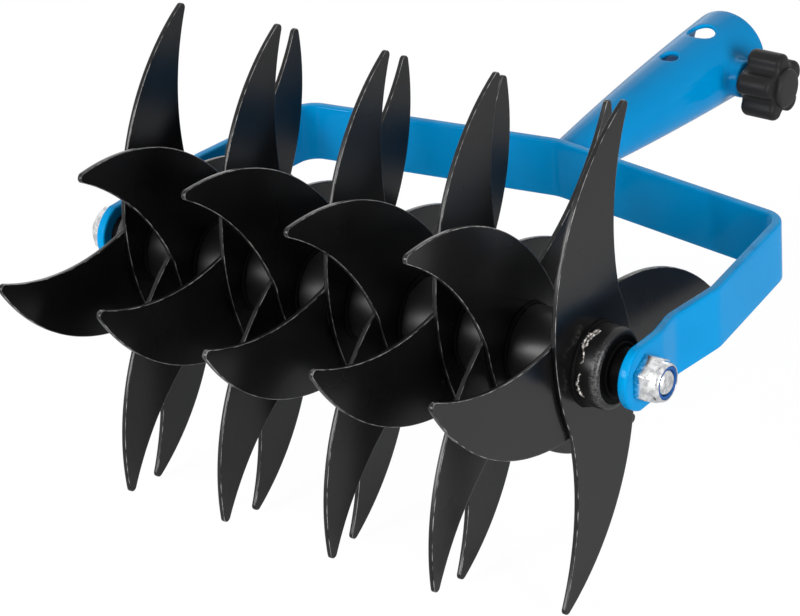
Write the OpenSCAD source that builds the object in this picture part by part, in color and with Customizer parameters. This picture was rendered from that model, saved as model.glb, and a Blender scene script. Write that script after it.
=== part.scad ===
// Rotary hand cultivator head: star blades on a hub that turns on an axle bolt, carried in a bent
// flat-bar yoke with a tapered handle socket and a clamp knob.
// Millimetres. The origin is the centre of the socket's mouth: +Y leaves the mouth along the handle,
// +X runs along the axle towards its nut, +Z is up.

/* [Star blades] */
// Radius from the axle to the blade tips, before they are rounded
tip_r = 78; // [68:1:92]
// Thickness of the star plates
plate_t = 1.5; // [1:0.1:3]
// Number of star plates along the hub
star_count = 9; // [5:2:13]
// Distance between neighbouring star plates
star_pitch = 20; // [15:0.5:26]
// Blades on each star
blade_count = 4; // [3:1:5]
// Height above the axle at which a blade's back edge is widest
back_h = 24; // [18:1:32]
// Reach of the back edge behind the line from the axle to the tip
back_w = 24.1; // [20:0.1:28]
// Distance from the tip down to the deepest point of the hollow edge
hollow_drop = 20; // [12:1:28]
// How far the tip hooks forward of the hollow edge
tip_hook = 2.4; // [1.6:0.1:3.4]
// Width of the blade at the tip radius, before the tip is rounded
tip_w = 2.6; // [2:0.1:4]
// Radius of the tip's rounding
tip_round = 1.8; // [1.2:0.1:2.2]
// Turn of the first star from upright, towards the handle, in degrees
rest_turn = 14; // [0:0.1:89]
// Further turn of each second, flipped star, in degrees
stagger = 29.9; // [0:0.1:60]
// How much of the hand-welded stars' unevenness is kept, 0 for an even set
weld_spread = 1; // [0:0.1:1]

/* [Hub and axle] */
// Outside diameter of the hub tube
hub_d = 25; // [22:0.5:32]
// Wall of the hub tube
hub_wall = 2; // [1.5:0.1:3]
// Hub length beyond the outermost stars, on each side
hub_overhang = 11; // [10:0.1:24]
// Depth of the bushes inside the hub
bush_len = 16; // [8:1:30]
// Diameter of the bush flanges
flange_d = 19; // [16:0.5:25]
// Thickness of the bush flanges
flange_t = 5.4; // [1:0.1:8]
// Outside diameter of the spacer sleeve
sleeve_d = 12; // [10.5:0.5:15]
// Axle bolt diameter
bolt_d = 8; // [6:0.5:9]
// Width across the flats of the bolt head and the nut
hex_w = 13; // [12:0.5:17]
// Height of the bolt head
head_h = 5.3; // [4:0.1:8]
// Height of the nut's hexagon
nut_hex_h = 5.2; // [4:0.1:8]
// Height of the nut's round collar
nut_collar_h = 2.5; // [2:0.1:4]
// Wall of the nut's collar round the locking ring
collar_wall = 1; // [0.6:0.1:1.5]

/* [Yoke] */
// Width of the flat bar
bar_w = 20; // [17:0.5:26]
// Radius of the rounded arm ends about the axle, a little over half the bar's width
arm_end_r = 10.4; // [10.2:0.1:14]
// Thickness of the flat bar
bar_t = 3.2; // [2.5:0.1:5]
// Reach of each flat arm end behind the bush flange
pad_past = 0.2; // [0:0.1:4]
// Length of the inward slope behind the flat end
waist_len = 10.3; // [8:0.1:18]
// Inward step of the arm's waist
waist_in = 2; // [0.5:0.1:2.5]
// Length of the outward slope behind the waist
joggle_len = 21; // [16:1:26]
// Reach of the arm's widest part outside its flat end
joggle_out = 0.3; // [-1:0.1:3]
// Inward lean of the arms at the rear corners
corner_in = 6; // [3:0.1:8]
// Room between the blade tips and the middle of the cross bar
rear_room = 26; // [22:0.5:40]
// Depth of the cross bar's shallow chevron
chevron = 14.3; // [6:0.1:15]
// Mid-line bend radius at the rear corners
corner_bend = 8; // [4:0.5:12]
// Mid-line bend radius of the arms' shallow bends
soft_bend = 12; // [6:0.5:14]

/* [Handle socket] */
// Length of the socket behind the cross bar
socket_len = 105.8; // [80:0.1:140]
// Outside diameter at the mouth
mouth_d = 30; // [26:0.5:40]
// Outside diameter at the cross bar
base_d = 13.5; // [11:0.5:18]
// Wall of the socket
socket_wall = 1.5; // [1:0.1:2.5]
// Share of early swelling in the socket's taper, 0 for a plain cone
swell = 0.42; // [0:0.02:0.6]
// Length of the straight land inside the mouth
land_len = 6; // [3:0.5:10]
// Diameter of the cross hole for a locking pin
lock_hole_d = 10; // [5:0.5:11]
// Distance of the cross hole from the mouth
lock_back = 17.3; // [15:0.1:26]
// Distance of the clamp from the mouth
clamp_back = 18.5; // [16:0.1:26]
// Diameter of the fixing screw hole
fix_hole_d = 6.5; // [4:0.5:8]
// Distance of the fixing screw hole from the mouth
fix_back = 38.3; // [34:0.1:50]

/* [Clamp] */
// Diameter of the clamp boss
boss_d = 13; // [11:0.5:16]
// Height of the boss above the socket
boss_h = 4.3; // [3:0.1:9]
// Clamp screw diameter
clamp_d = 8; // [5:0.5:8]
// Reach of the screw's point inside the socket
point_in = 1.5; // [0:0.1:2.5]
// Gap between the boss and the knob's collar
knob_gap = 1.6; // [1.6:0.1:4]
// Diameter over the knob's lobes
knob_d = 24; // [22:0.5:32]
// Length of the knob's lobes
knob_len = 13; // [11:0.5:18]
// Number of lobes
lobe_count = 5; // [4:1:7]
// Radius of a lobe's end
lobe_r = 4.5; // [3.5:0.1:5]
// Depth of the hollows between the lobes
valley_depth = 3.6; // [1.5:0.1:4]
// Radius of the hollows between the lobes
valley_r = 3; // [2:0.1:4]
// Rounding of the knob's rims
knob_round = 1.8; // [0.8:0.1:2.5]
// Diameter of the knob's rear collar
collar_d = 14; // [12:0.5:16]
// Length of the knob's rear collar
collar_h = 0.6; // [0.4:0.1:3]
// Diameter of the knob's front cap
cap_d = 13.5; // [11:0.5:15]
// Height of the cap above the lobes
cap_rise = 1.8; // [0.8:0.1:2.5]
// Depth of the cap's seat in the knob
cap_seat = 1.5; // [1:0.1:2.5]
// Depth of the screw in the knob
screw_grip = 9; // [6:0.5:9.5]

/* [Clearances] */
// Radial clearance of pieces that turn on each other
run_fit = 0.05; // [0.02:0.01:0.1]
// Radial clearance of pieces that are fixed in each other
seat_fit = 0.05; // [0.02:0.01:0.15]
// Radial clearance of bolts in plain holes
bolt_fit = 0.2; // [0.1:0.05:0.4]
// Side play of the rotor between the arms, on each side
side_play = 0.3; // [0.2:0.05:1]
// Chamfer on bolt and screw ends
end_chamfer = 0.9; // [0.4:0.1:1.2]

/* [Hidden] */
$fn = 64;
STARS = [for (i = [1 : star_count]) str("star_", i)];

black_paint = [0.07, 0.07, 0.075];
blue_coat = [0.0, 0.47, 0.8];
zinc = [0.78, 0.79, 0.8];
black_plastic = [0.1, 0.1, 0.11];
nylon_blue = [0.1, 0.3, 0.65];
grey_plastic = [0.13, 0.13, 0.14];
bare_steel = [0.6, 0.61, 0.63];

// Unevenness of the stars as they are welded: their turn in degrees, their place along the hub, and their
// lean about Y and about Z in degrees
weld_turn = [-0.7, -0.9, 0, 1.4, -1.8, -0.7, 0.9, 0.3, 1.3];
weld_shift = [0.9, 0.8, 0.3, 1.2, 0, 0.1, 0.5, -2.1, 1.5];
weld_lean = [[-0.3, 0.7], [-1, 1.2], [-1.8, 0.7], [-1.7, -0.4], [0.4, 0.4], [-1.8, -0.5], [-2.3, -0.7],
             [-0.6, 1.5], [-0.4, -1.2]];
// Room in a star's bore for the lean of its plate
lean_room = plate_t / 2 * sin(weld_spread * max([for (lean = weld_lean) norm(lean)]));

// Share of the tip's circle that lies between the blade's edges
tip_share = 0.87;

// Along the axle
hub_half = (star_count - 1) / 2 * star_pitch + hub_overhang;
flange_half = hub_half + flange_t;
arm_in = flange_half + side_play;
arm_out = arm_in + bar_t;
nut_end = arm_out + nut_hex_h + nut_collar_h;
bolt_r = bolt_d / 2;
hex_r = hex_w / 2 / cos(30);
// Outside radius of the nut's collar, and the radius of its seat for the locking ring
collar_r = hex_w / 2 - collar_wall / 2;
ring_r = collar_r - collar_wall;

// Mid-line of the right half of the bar in plan, from before the axle to the middle, and its bends
arm_x = arm_in + bar_t / 2;
apex_y = tip_r + rear_room + bar_t / 2;
pad_y = flange_d / 2 + pad_past;
waist_y = pad_y + waist_len;
bar_path = [[arm_x, -bar_w], [arm_x, pad_y], [arm_x - waist_in, waist_y],
            [arm_x + joggle_out, waist_y + joggle_len], [arm_x - corner_in, apex_y - chevron], [0, apex_y]];
bend_r = [0, soft_bend, soft_bend, soft_bend, corner_bend];
bend_step = 6;

// Along the handle: the bar's rear face at the middle, and the axle seen from the mouth
bar_slope = chevron / (arm_x - corner_in);
rear_face = apex_y + bar_t / 2 * norm([1, bar_slope]);
axle_y = -(rear_face + socket_len);
// Reach of the socket's small end past the middle of the bar's rear face, to be cut back to that face
cope = bar_slope * base_d;
socket_steps = 12;

// Across the socket at the clamp
mouth_r = mouth_d / 2;
clamp_x = socket_r(1 - clamp_back / socket_len);
boss_x = clamp_x + boss_h;
knob_x = boss_x + knob_gap;
lobe_x = knob_x + collar_h;
knob_end = lobe_x + knob_len;

function unit(v) = v / norm(v);
function across(v) = [-v.y, v.x];
// Heading of the bar's leg that starts at corner i, and how far it turns there
function heading(i) = let (run = bar_path[i + 1] - bar_path[i]) atan2(run.y, run.x);
function turn(i) = heading(i) - heading(i - 1);
function to_left(angle) = [-sin(angle), cos(angle)];
// Centre of the bend at corner i
function bend_centre(i) = bar_path[i] + bend_r[i] * sign(turn(i))
  * (to_left(heading(i - 1)) + to_left(heading(i))) / (1 + cos(turn(i)));
// Arc of the bend at corner i, drawn off the mid-line to the left
function bend_arc(i, off) = let (n = ceil(abs(turn(i)) / bend_step)) [for (k = [0 : n])
  bend_centre(i) + to_left(heading(i - 1) + turn(i) * k / n) * (off - sign(turn(i)) * bend_r[i])];
// One face of the bar from the right arm's end round to the left arm's end
function bar_half(off) = concat([bar_path[0] + to_left(heading(0)) * off],
  [for (i = [1 : len(bend_r) - 1]) each bend_arc(i, off)], [[0, apex_y - off * norm([1, bar_slope])]]);
function bar_face(off) = let (half = bar_half(off))
  concat(half, [for (k = [len(half) - 2 : -1 : 0]) [-half[k].x, half[k].y]]);
function reversed(list) = [for (k = [len(list) - 1 : -1 : 0]) list[k]];
// Outside radius of the socket at a share u of its length from the bar
function socket_r(u) = base_d / 2 + (mouth_d - base_d) / 2 * ((1 + swell) * u - swell * u * u);

module at_axle() { translate([0, axle_y, 0]) children(); }
// Stands a profile drawn with its axis upwards along +X or along +Y
module along_x() { rotate([0, 90, 0]) children(); }
module along_y() { rotate([-90, 0, 0]) children(); }

// One sickle blade: the room between the round back edge and the hollow front edge, up to a blunt tip
module blade() {
  back_sag = back_w + tip_hook - tip_w;
  back_radius = (back_sag ^ 2 + (tip_r - back_h) ^ 2) / (2 * back_sag);
  back_c = [back_radius - back_w, back_h];
  hollow_radius = (tip_hook ^ 2 + hollow_drop ^ 2) / (2 * tip_hook);
  hollow_c = [hollow_radius, tip_r - hollow_drop];
  // The tip's circle is centred between the edges and reaches a little past both of them
  between = tip_round * tip_share;
  reach_b = back_radius - between;
  reach_h = hollow_radius + between;
  span = hollow_c - back_c;
  along = (reach_b ^ 2 - reach_h ^ 2 + norm(span) ^ 2) / (2 * norm(span));
  off = sqrt(reach_b ^ 2 - along ^ 2);
  tip_c = back_c + unit(span) * along + across(unit(span)) * off;
  side = unit(unit(hollow_c - tip_c) - unit(tip_c - back_c));
  wide = 2 * tip_r;
  difference() {
    translate(back_c) circle(back_radius);
    translate(hollow_c) circle(hollow_radius);
    translate([-wide, -2 * wide]) square(2 * wide);
    translate([hollow_c.x, -wide]) square(2 * wide);
    difference() {
      polygon([tip_c + side * wide, tip_c - side * wide,
               tip_c - side * wide + across(side) * wide, tip_c + side * wide + across(side) * wide]);
      translate(tip_c) circle(tip_round);
    }
  }
}

module star_outline() {
  difference() {
    for (k = [1 : blade_count]) rotate(360 / blade_count * k) blade();
    circle(hub_d / 2 + seat_fit + lean_room);
  }
}

// Star plates: each second one is flipped over and turned further
module star(i) {
  flipped = i % 2 == 0;
  weld = (i - 1) % len(weld_turn);
  x = (i - (star_count + 1) / 2) * star_pitch + weld_spread * weld_shift[weld];
  lean = weld_spread * weld_lean[weld];
  star_turn = rest_turn + weld_spread * weld_turn[weld] + (flipped ? stagger : 0);
  color(black_paint)
    at_axle() translate([x, 0, 0]) rotate([0, lean.x, lean.y])
      rotate([90, 0, 90]) linear_extrude(plate_t, center = true)
        rotate(-star_turn) mirror([flipped ? 1 : 0, 0]) star_outline();
}

module hub_tube() {
  color(black_paint) at_axle() along_x() difference() {
    cylinder(h = 2 * hub_half, d = hub_d, center = true);
    cylinder(h = 3 * hub_half, d = hub_d - 2 * hub_wall, center = true);
  }
}

// Flanged plain bush, drawn with its flange at the top
module bush() {
  seat_r = hub_d / 2 - hub_wall - seat_fit;
  bore_r = sleeve_d / 2 + run_fit;
  rotate_extrude() polygon([[bore_r, hub_half - bush_len], [seat_r, hub_half - bush_len],
                            [seat_r, hub_half], [flange_d / 2, hub_half],
                            [flange_d / 2, flange_half], [bore_r, flange_half]]);
}

module right_bush() { color(grey_plastic) at_axle() along_x() bush(); }
module left_bush() { color(grey_plastic) at_axle() rotate([0, 0, 180]) along_x() bush(); }

module axle_sleeve() {
  color(bare_steel) at_axle() along_x() difference() {
    cylinder(h = 2 * arm_in, d = sleeve_d, center = true);
    cylinder(h = 3 * arm_in, r = bolt_r + bolt_fit, center = true);
  }
}

// Hexagon with its outer corners turned off, from z = 0 to z = h
module hexagon(h) {
  corner_cut = hex_r - hex_w / 2;
  intersection() {
    cylinder(h = h, r = hex_r, $fn = 6);
    rotate_extrude() polygon([[0, 0], [hex_r, 0], [hex_r, h - corner_cut],
                              [hex_w / 2 - corner_cut / 2, h], [0, h]]);
  }
}

module axle_bolt() {
  color(zinc) at_axle() {
    translate([-arm_out, 0, 0]) rotate([0, -90, 0]) hexagon(head_h);
    along_x() rotate_extrude() polygon([[0, -arm_out - head_h / 2], [bolt_r, -arm_out - head_h / 2],
                                        [bolt_r, nut_end - end_chamfer],
                                        [bolt_r - end_chamfer, nut_end], [0, nut_end]]);
  }
}

// Lock nut: hexagon with a rolled-in round collar that holds a nylon ring
module axle_nut() {
  color(zinc) at_axle() translate([arm_out, 0, 0]) along_x() difference() {
    union() {
      hexagon(nut_hex_h);
      rotate_extrude() polygon([[0, nut_hex_h - collar_wall], [collar_r, nut_hex_h - collar_wall],
                                [collar_r, nut_hex_h + nut_collar_h - collar_wall],
                                [ring_r, nut_hex_h + nut_collar_h], [0, nut_hex_h + nut_collar_h]]);
    }
    translate([0, 0, -1]) cylinder(h = nut_end, r = bolt_r + seat_fit);
    translate([0, 0, nut_hex_h]) cylinder(h = nut_end, r = ring_r);
  }
}

module nut_lock_ring() {
  color(nylon_blue) at_axle() translate([arm_out + nut_hex_h, 0, 0]) along_x() difference() {
    cylinder(h = nut_collar_h - collar_wall / 2, r = ring_r - seat_fit);
    translate([0, 0, -1]) cylinder(h = nut_collar_h + 2, r = bolt_r + seat_fit);
  }
}

// Flat bar bent into a level fork, with its ends rounded about the axle
module yoke() {
  color(blue_coat) at_axle() difference() {
    intersection() {
      linear_extrude(bar_w, center = true)
        polygon(concat(bar_face(-bar_t / 2), reversed(bar_face(bar_t / 2))));
      union() {
        along_x() cylinder(h = 3 * arm_out, r = arm_end_r, center = true);
        translate([-2 * arm_out, 0, -bar_w]) cube([4 * arm_out, 2 * apex_y, 2 * bar_w]);
      }
    }
    along_x() cylinder(h = 3 * arm_out, r = bolt_r + bolt_fit, center = true);
  }
}

// Points of the socket's side, from the bar to the mouth, drawn in by a wall
function socket_side(wall, last) = [for (k = [0 : socket_steps])
  let (u = last * k / socket_steps) [socket_r(u) - wall, (u - 1) * socket_len]];

module socket_outside() {
  along_y() rotate_extrude()
    polygon(concat([[0, -socket_len - cope], [base_d / 2, -socket_len - cope]], socket_side(0, 1), [[0, 0]]));
}

module socket_inside() {
  land_r = mouth_r - socket_wall;
  inner_r = base_d / 2 - socket_wall;
  deep = 1 - land_len / socket_len;
  along_y() rotate_extrude()
    polygon(concat([[0, -socket_len - 2 * cope], [inner_r, -socket_len - 2 * cope]],
                   socket_side(socket_wall, deep), [[land_r, -land_len], [land_r, 1], [0, 1]]));
}

// Tapered steel socket, shaped at its small end to the bar's rear face, with a cross hole for a locking
// pin, a fixing hole in its top wall and a hole for the clamp screw in its side
module handle_socket() {
  color(blue_coat) difference() {
    socket_outside();
    socket_inside();
    translate([0, -lock_back, 0]) cylinder(h = 2 * mouth_d, d = lock_hole_d, center = true);
    translate([0, -fix_back, 0]) cylinder(h = mouth_d, d = fix_hole_d);
    translate([0, -clamp_back, 0]) along_x() cylinder(h = mouth_d, r = clamp_d / 2 + bolt_fit);
    translate([0, axle_y, -mouth_d]) linear_extrude(2 * mouth_d)
      polygon([[0, rear_face], [arm_x, rear_face - bar_slope * arm_x], [arm_x, 0],
               [-arm_x, 0], [-arm_x, rear_face - bar_slope * arm_x]]);
  }
}

module clamp_boss() {
  color(blue_coat) difference() {
    translate([0, -clamp_back, 0]) along_x() cylinder(h = boss_x, d = boss_d);
    socket_outside();
    translate([0, -clamp_back, 0]) along_x() cylinder(h = 2 * boss_x, r = clamp_d / 2 + run_fit);
  }
}

module clamp_screw() {
  tip = clamp_x - socket_wall - point_in;
  end = lobe_x + screw_grip;
  r = clamp_d / 2;
  color(zinc) translate([0, -clamp_back, 0]) along_x() rotate_extrude()
    polygon([[0, tip], [r - end_chamfer, tip], [r, tip + end_chamfer], [r, end], [0, end]]);
}

// Outline of the lobed grip
module lobes() {
  rim = knob_d / 2;
  difference() {
    union() {
      circle(rim - valley_depth + valley_r / 2);
      for (k = [1 : lobe_count]) rotate(360 / lobe_count * k) translate([rim - lobe_r, 0]) circle(lobe_r);
    }
    for (k = [1 : lobe_count]) rotate(360 / lobe_count * (k + 0.5))
      translate([rim - valley_depth + valley_r, 0]) circle(valley_r);
  }
}

// Half profile of a disc with round rims, from z = 0 to z = h
module round_rim(r, h, round) {
  square([r - round, h]);
  translate([0, round]) square([r, h - 2 * round]);
  for (z = [round, h - round]) translate([r - round, z]) circle(round);
}

module clamp_knob() {
  color(black_plastic) translate([0, -clamp_back, 0]) along_x() difference() {
    union() {
      translate([0, 0, knob_x]) cylinder(h = collar_h + knob_round, d = collar_d);
      translate([0, 0, lobe_x]) intersection() {
        linear_extrude(knob_len) rotate(180) lobes();
        rotate_extrude() intersection() {
          round_rim(knob_d / 2 + knob_round / 4, knob_len, knob_round);
          square(knob_d);
        }
      }
    }
    translate([0, 0, knob_x - 1])
      cylinder(h = 1 + collar_h + screw_grip + run_fit, r = clamp_d / 2 + run_fit);
    translate([0, 0, knob_end - cap_seat]) cylinder(h = 2 * cap_seat, r = cap_d / 2 + seat_fit);
  }
}

module knob_cap() {
  h = cap_seat + cap_rise;
  round = cap_rise / 2;
  color(black_plastic) translate([knob_end - cap_seat, -clamp_back, 0]) along_x() rotate_extrude() {
    square([cap_d / 2, h - round]);
    square([cap_d / 2 - round, h]);
    translate([cap_d / 2 - round, h - round]) circle(round);
  }
}

yoke();
handle_socket();
clamp_boss();
axle_bolt();
axle_nut();
nut_lock_ring();
axle_sleeve();
hub_tube();
left_bush();
right_bush();
for (i = [1 : star_count]) star(i);
clamp_screw();
clamp_knob();
knob_cap();
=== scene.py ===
"""Rotary hand cultivator head: nine black stars of sickle blades on a hub, a blue bent yoke, a tapered handle
socket and a clamp knob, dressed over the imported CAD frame. Lengths of pieces are millimetres."""

import bmesh
import bpy
import numpy as np
from mathutils import Euler, Matrix, Vector


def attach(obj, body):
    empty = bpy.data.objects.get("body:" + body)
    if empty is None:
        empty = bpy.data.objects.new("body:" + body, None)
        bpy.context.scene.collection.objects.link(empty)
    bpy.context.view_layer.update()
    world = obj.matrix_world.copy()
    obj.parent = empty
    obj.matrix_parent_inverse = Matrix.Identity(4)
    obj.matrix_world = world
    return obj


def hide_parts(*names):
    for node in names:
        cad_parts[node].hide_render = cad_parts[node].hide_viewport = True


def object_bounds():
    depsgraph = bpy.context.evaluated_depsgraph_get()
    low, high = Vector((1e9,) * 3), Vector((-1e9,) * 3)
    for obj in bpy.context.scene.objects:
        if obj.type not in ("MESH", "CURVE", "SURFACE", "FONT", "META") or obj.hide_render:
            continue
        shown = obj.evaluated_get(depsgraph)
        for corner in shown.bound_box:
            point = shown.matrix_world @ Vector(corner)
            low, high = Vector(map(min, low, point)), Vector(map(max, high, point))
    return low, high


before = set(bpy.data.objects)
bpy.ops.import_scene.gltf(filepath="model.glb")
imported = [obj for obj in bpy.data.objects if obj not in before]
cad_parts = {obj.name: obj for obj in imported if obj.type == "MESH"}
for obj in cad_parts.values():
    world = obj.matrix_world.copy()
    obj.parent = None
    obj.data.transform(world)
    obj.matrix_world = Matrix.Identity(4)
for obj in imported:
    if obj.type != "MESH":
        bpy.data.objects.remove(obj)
cad_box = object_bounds()


# Camera: a long lens above and in front of the nut's end of the axle, rolled a little to one side, so that
# all nine stars, the fork and the knob show at once.
back = Vector((0.5461, -0.6980, 0.4631)).normalized()
right = Vector((0.8071, 0.5864, -0.0680))
right = (right - back * right.dot(back)).normalized()
camera_place, focal_length, film_width = (0.5484, -0.89797, 0.45468), 146.13, 36
camera_pose = Matrix((right, back.cross(right), back)).transposed().to_4x4()
camera_pose.translation = camera_place
lens = bpy.data.cameras.new("camera")
lens.lens, lens.sensor_width = focal_length, film_width
camera = bpy.data.objects.new("camera", lens)
camera.matrix_world = camera_pose
bpy.context.collection.objects.link(camera)
bpy.context.scene.camera = camera
bpy.context.scene.view_settings.view_transform = "Standard"


# Yoke: one length of 20 x 3.2 flat steel with rounded ends and eased edges, bent cold into a level fork with
# waisted arms and a shallow chevron at the back, then powder coated blue in one go with the socket.
axle_y = -213.019
arm_x = 98.3
bar_half_w, bar_half_t, bar_edge, end_r = 10.0, 1.6, 0.75, 10.4


def facing_left(angle):
    """Unit vectors a quarter turn to the left of the headings: (-sin, cos)."""
    return np.stack([-np.sin(angle), np.cos(angle)], -1)


def bent_line(corners, radii, leg_points=7, step=0.1):
    """Mid-line of a bent bar in plan: straight legs, and at each corner an arc of the given radius that touches
    both legs, its centre on the bisector. Returns the points and their left-hand normals."""
    corners = np.asarray(corners, float)
    legs = np.diff(corners, axis=0)
    heading = np.unwrap(np.arctan2(legs[:, 1], legs[:, 0]))
    points, angles = [corners[:1]], [heading[:1]]
    for i, radius in enumerate(radii, 1):
        bend = heading[i] - heading[i - 1]
        a = heading[i - 1] + bend * np.linspace(0, 1, 4 + int(abs(bend) / step))
        bisector = (facing_left(heading[i - 1]) + facing_left(heading[i])) / (1 + np.cos(bend))
        arc = corners[i] + np.sign(bend) * radius * (bisector - facing_left(a))
        t = np.linspace(0, 1, leg_points)[1:-1, None]
        points += [points[-1][-1] * (1 - t) + arc[0] * t, arc]
        angles += [np.full(len(t), heading[i - 1]), a]
    t = np.linspace(0, 1, leg_points)[1:, None]
    points.append(points[-1][-1] * (1 - t) + corners[-1] * t)
    angles.append(np.full(len(t), heading[-1]))
    return np.concatenate(points), facing_left(np.concatenate(angles))


def strip_section(half_t, edge, across=10, corner=6):
    """Closed section of a flat strip with round edges, as three lists: the share across the width from -1 to 1,
    the inset from the outline, and the rise from the mid-plane; each corner is a quarter circle of radius edge."""
    a = np.linspace(0, np.pi / 2, corner)
    inset, rise = edge * (1 - np.sin(a)), half_t - edge + edge * np.cos(a)
    flat = np.linspace(-1, 1, across)[1:-1]
    face = np.full(len(flat), edge)
    share = np.concatenate([flat, np.ones(2 * corner), -flat, -np.ones(2 * corner)])
    insets = np.concatenate([face, inset, inset[::-1], face, inset, inset[::-1]])
    rises = np.concatenate([face * 0 + half_t, rise, -rise[::-1], face * 0 - half_t, -rise, rise[::-1]])
    return share, insets, rises


def sheet(points, wrap=False, edge=0.0):
    """Corner points, quads and edge marks of a grid of points (rows x columns x 3); wrap joins the last column
    to the first."""
    rows, cols = points.shape[:2]
    r = np.arange(rows - 1)[:, None] * cols
    c = np.arange(cols if wrap else cols - 1)[None, :]
    n = (c + 1) % cols
    quads = np.stack([r + c, r + n, r + n + cols, r + c + cols], -1).reshape(-1, 4)
    return points.reshape(-1, 3), quads, np.broadcast_to(edge, (rows, cols)).reshape(-1)


def lay_piece(name, sheets, sharp=38, merge=2e-6):
    """Joins sheets in millimetres into one mesh in metres: points that fall together are merged, faces turned
    outwards and smoothed, with a hard line where they meet at more than the sharp angle."""
    points = np.concatenate([s[0] for s in sheets]) / 1000
    start = np.cumsum([0] + [len(s[0]) for s in sheets[:-1]])
    quads = np.concatenate([s[1] + k for s, k in zip(sheets, start)])
    mesh = bpy.data.meshes.new(name)
    mesh.from_pydata(points.tolist(), [], quads.tolist())
    mark = mesh.attributes.new("edge", "FLOAT", "POINT")
    mark.data.foreach_set("value", np.concatenate([s[2] for s in sheets]).astype(np.float32))
    shell = bmesh.new()
    shell.from_mesh(mesh)
    bmesh.ops.remove_doubles(shell, verts=shell.verts, dist=merge)
    bmesh.ops.recalc_face_normals(shell, faces=shell.faces)
    shell.to_mesh(mesh)
    shell.free()
    mesh.polygons.foreach_set("use_smooth", np.ones(len(mesh.polygons), bool))
    mesh.set_sharp_from_angle(angle=np.radians(sharp))
    piece = bpy.data.objects.new(name, mesh)
    bpy.context.collection.objects.link(piece)
    return piece


def fit(piece, coat, body, slot, *nodes):
    """Gives a piece its finish and its body, and says which CAD nodes it stands for."""
    piece.data.materials.clear()
    piece.data.materials.append(coat)
    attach(piece, body)
    if nodes:
        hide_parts(*nodes)


def new_group(name, inputs, outputs):
    """Empty shader node group with named value inputs (with their defaults) and named value outputs."""
    group = bpy.data.node_groups.new(name, "ShaderNodeTree")
    number = "NodeSocketFloat"
    for label, value in inputs.items():
        group.interface.new_socket(label, in_out="INPUT", socket_type=number).default_value = value
    for label in outputs:
        group.interface.new_socket(label, in_out="OUTPUT", socket_type=number)
    return group, group.nodes.new("NodeGroupInput"), group.nodes.new("NodeGroupOutput")


# Clouds are slow changes over a coat, grain its fine relief; both are noise in the piece's own place
clouds, entry, leave = new_group("clouds_and_grain", {"Cloud scale": 30, "Grain scale": 900}, ["Cloud", "Grain"])
place = clouds.nodes.new("ShaderNodeTexCoord")
for label, detail in (("Cloud", 4.0), ("Grain", 2.0)):
    noise = clouds.nodes.new("ShaderNodeTexNoise")
    noise.inputs["Detail"].default_value = detail
    clouds.links.new(place.outputs["Object"], noise.inputs["Vector"])
    clouds.links.new(entry.outputs[label + " scale"], noise.inputs["Scale"])
    clouds.links.new(noise.outputs["Fac"], leave.inputs[label])


def reckon(tree, kind, *values):
    """A sum of the given kind from sockets and plain numbers, placed in a node tree."""
    node = tree.nodes.new("ShaderNodeMath")
    node.operation = kind
    for value, socket in zip(values, node.inputs):
        if isinstance(value, (int, float)):
            socket.default_value = value
        else:
            tree.links.new(value, socket)
    return node.outputs[0]


# Edge wear and sheen: the mesh's edge mark, made weaker and stronger by noise, from a reach upwards. It lays
# worn paint on the stars and welds. On the blue's eased edges and hole rims, and on the hub's ends, the colour it
# brings is partly wear and partly painted highlight.
wear_and_sheen, entry, leave = new_group("edge_wear_and_sheen", {"Break scale": 260, "Reach": 0.7}, ["Worn"])
noise_swing, noise_floor, fade = 0.9, 0.55, 0.25
place = wear_and_sheen.nodes.new("ShaderNodeTexCoord")
mark = wear_and_sheen.nodes.new("ShaderNodeAttribute")
mark.attribute_name = "edge"
noise = wear_and_sheen.nodes.new("ShaderNodeTexNoise")
noise.inputs["Detail"].default_value = 5.0
wear_and_sheen.links.new(place.outputs["Object"], noise.inputs["Vector"])
wear_and_sheen.links.new(entry.outputs["Break scale"], noise.inputs["Scale"])
uneven = reckon(wear_and_sheen, "MULTIPLY_ADD", noise.outputs["Fac"], noise_swing, noise_floor)
step = wear_and_sheen.nodes.new("ShaderNodeMapRange")
step.interpolation_type = "SMOOTHSTEP"
wear_and_sheen.links.new(reckon(wear_and_sheen, "MULTIPLY", mark.outputs["Fac"], uneven), step.inputs["Value"])
wear_and_sheen.links.new(entry.outputs["Reach"], step.inputs["From Min"])
wear_and_sheen.links.new(reckon(wear_and_sheen, "ADD", entry.outputs["Reach"], fade), step.inputs["From Max"])
wear_and_sheen.links.new(step.outputs["Result"], leave.inputs["Worn"])


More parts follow.
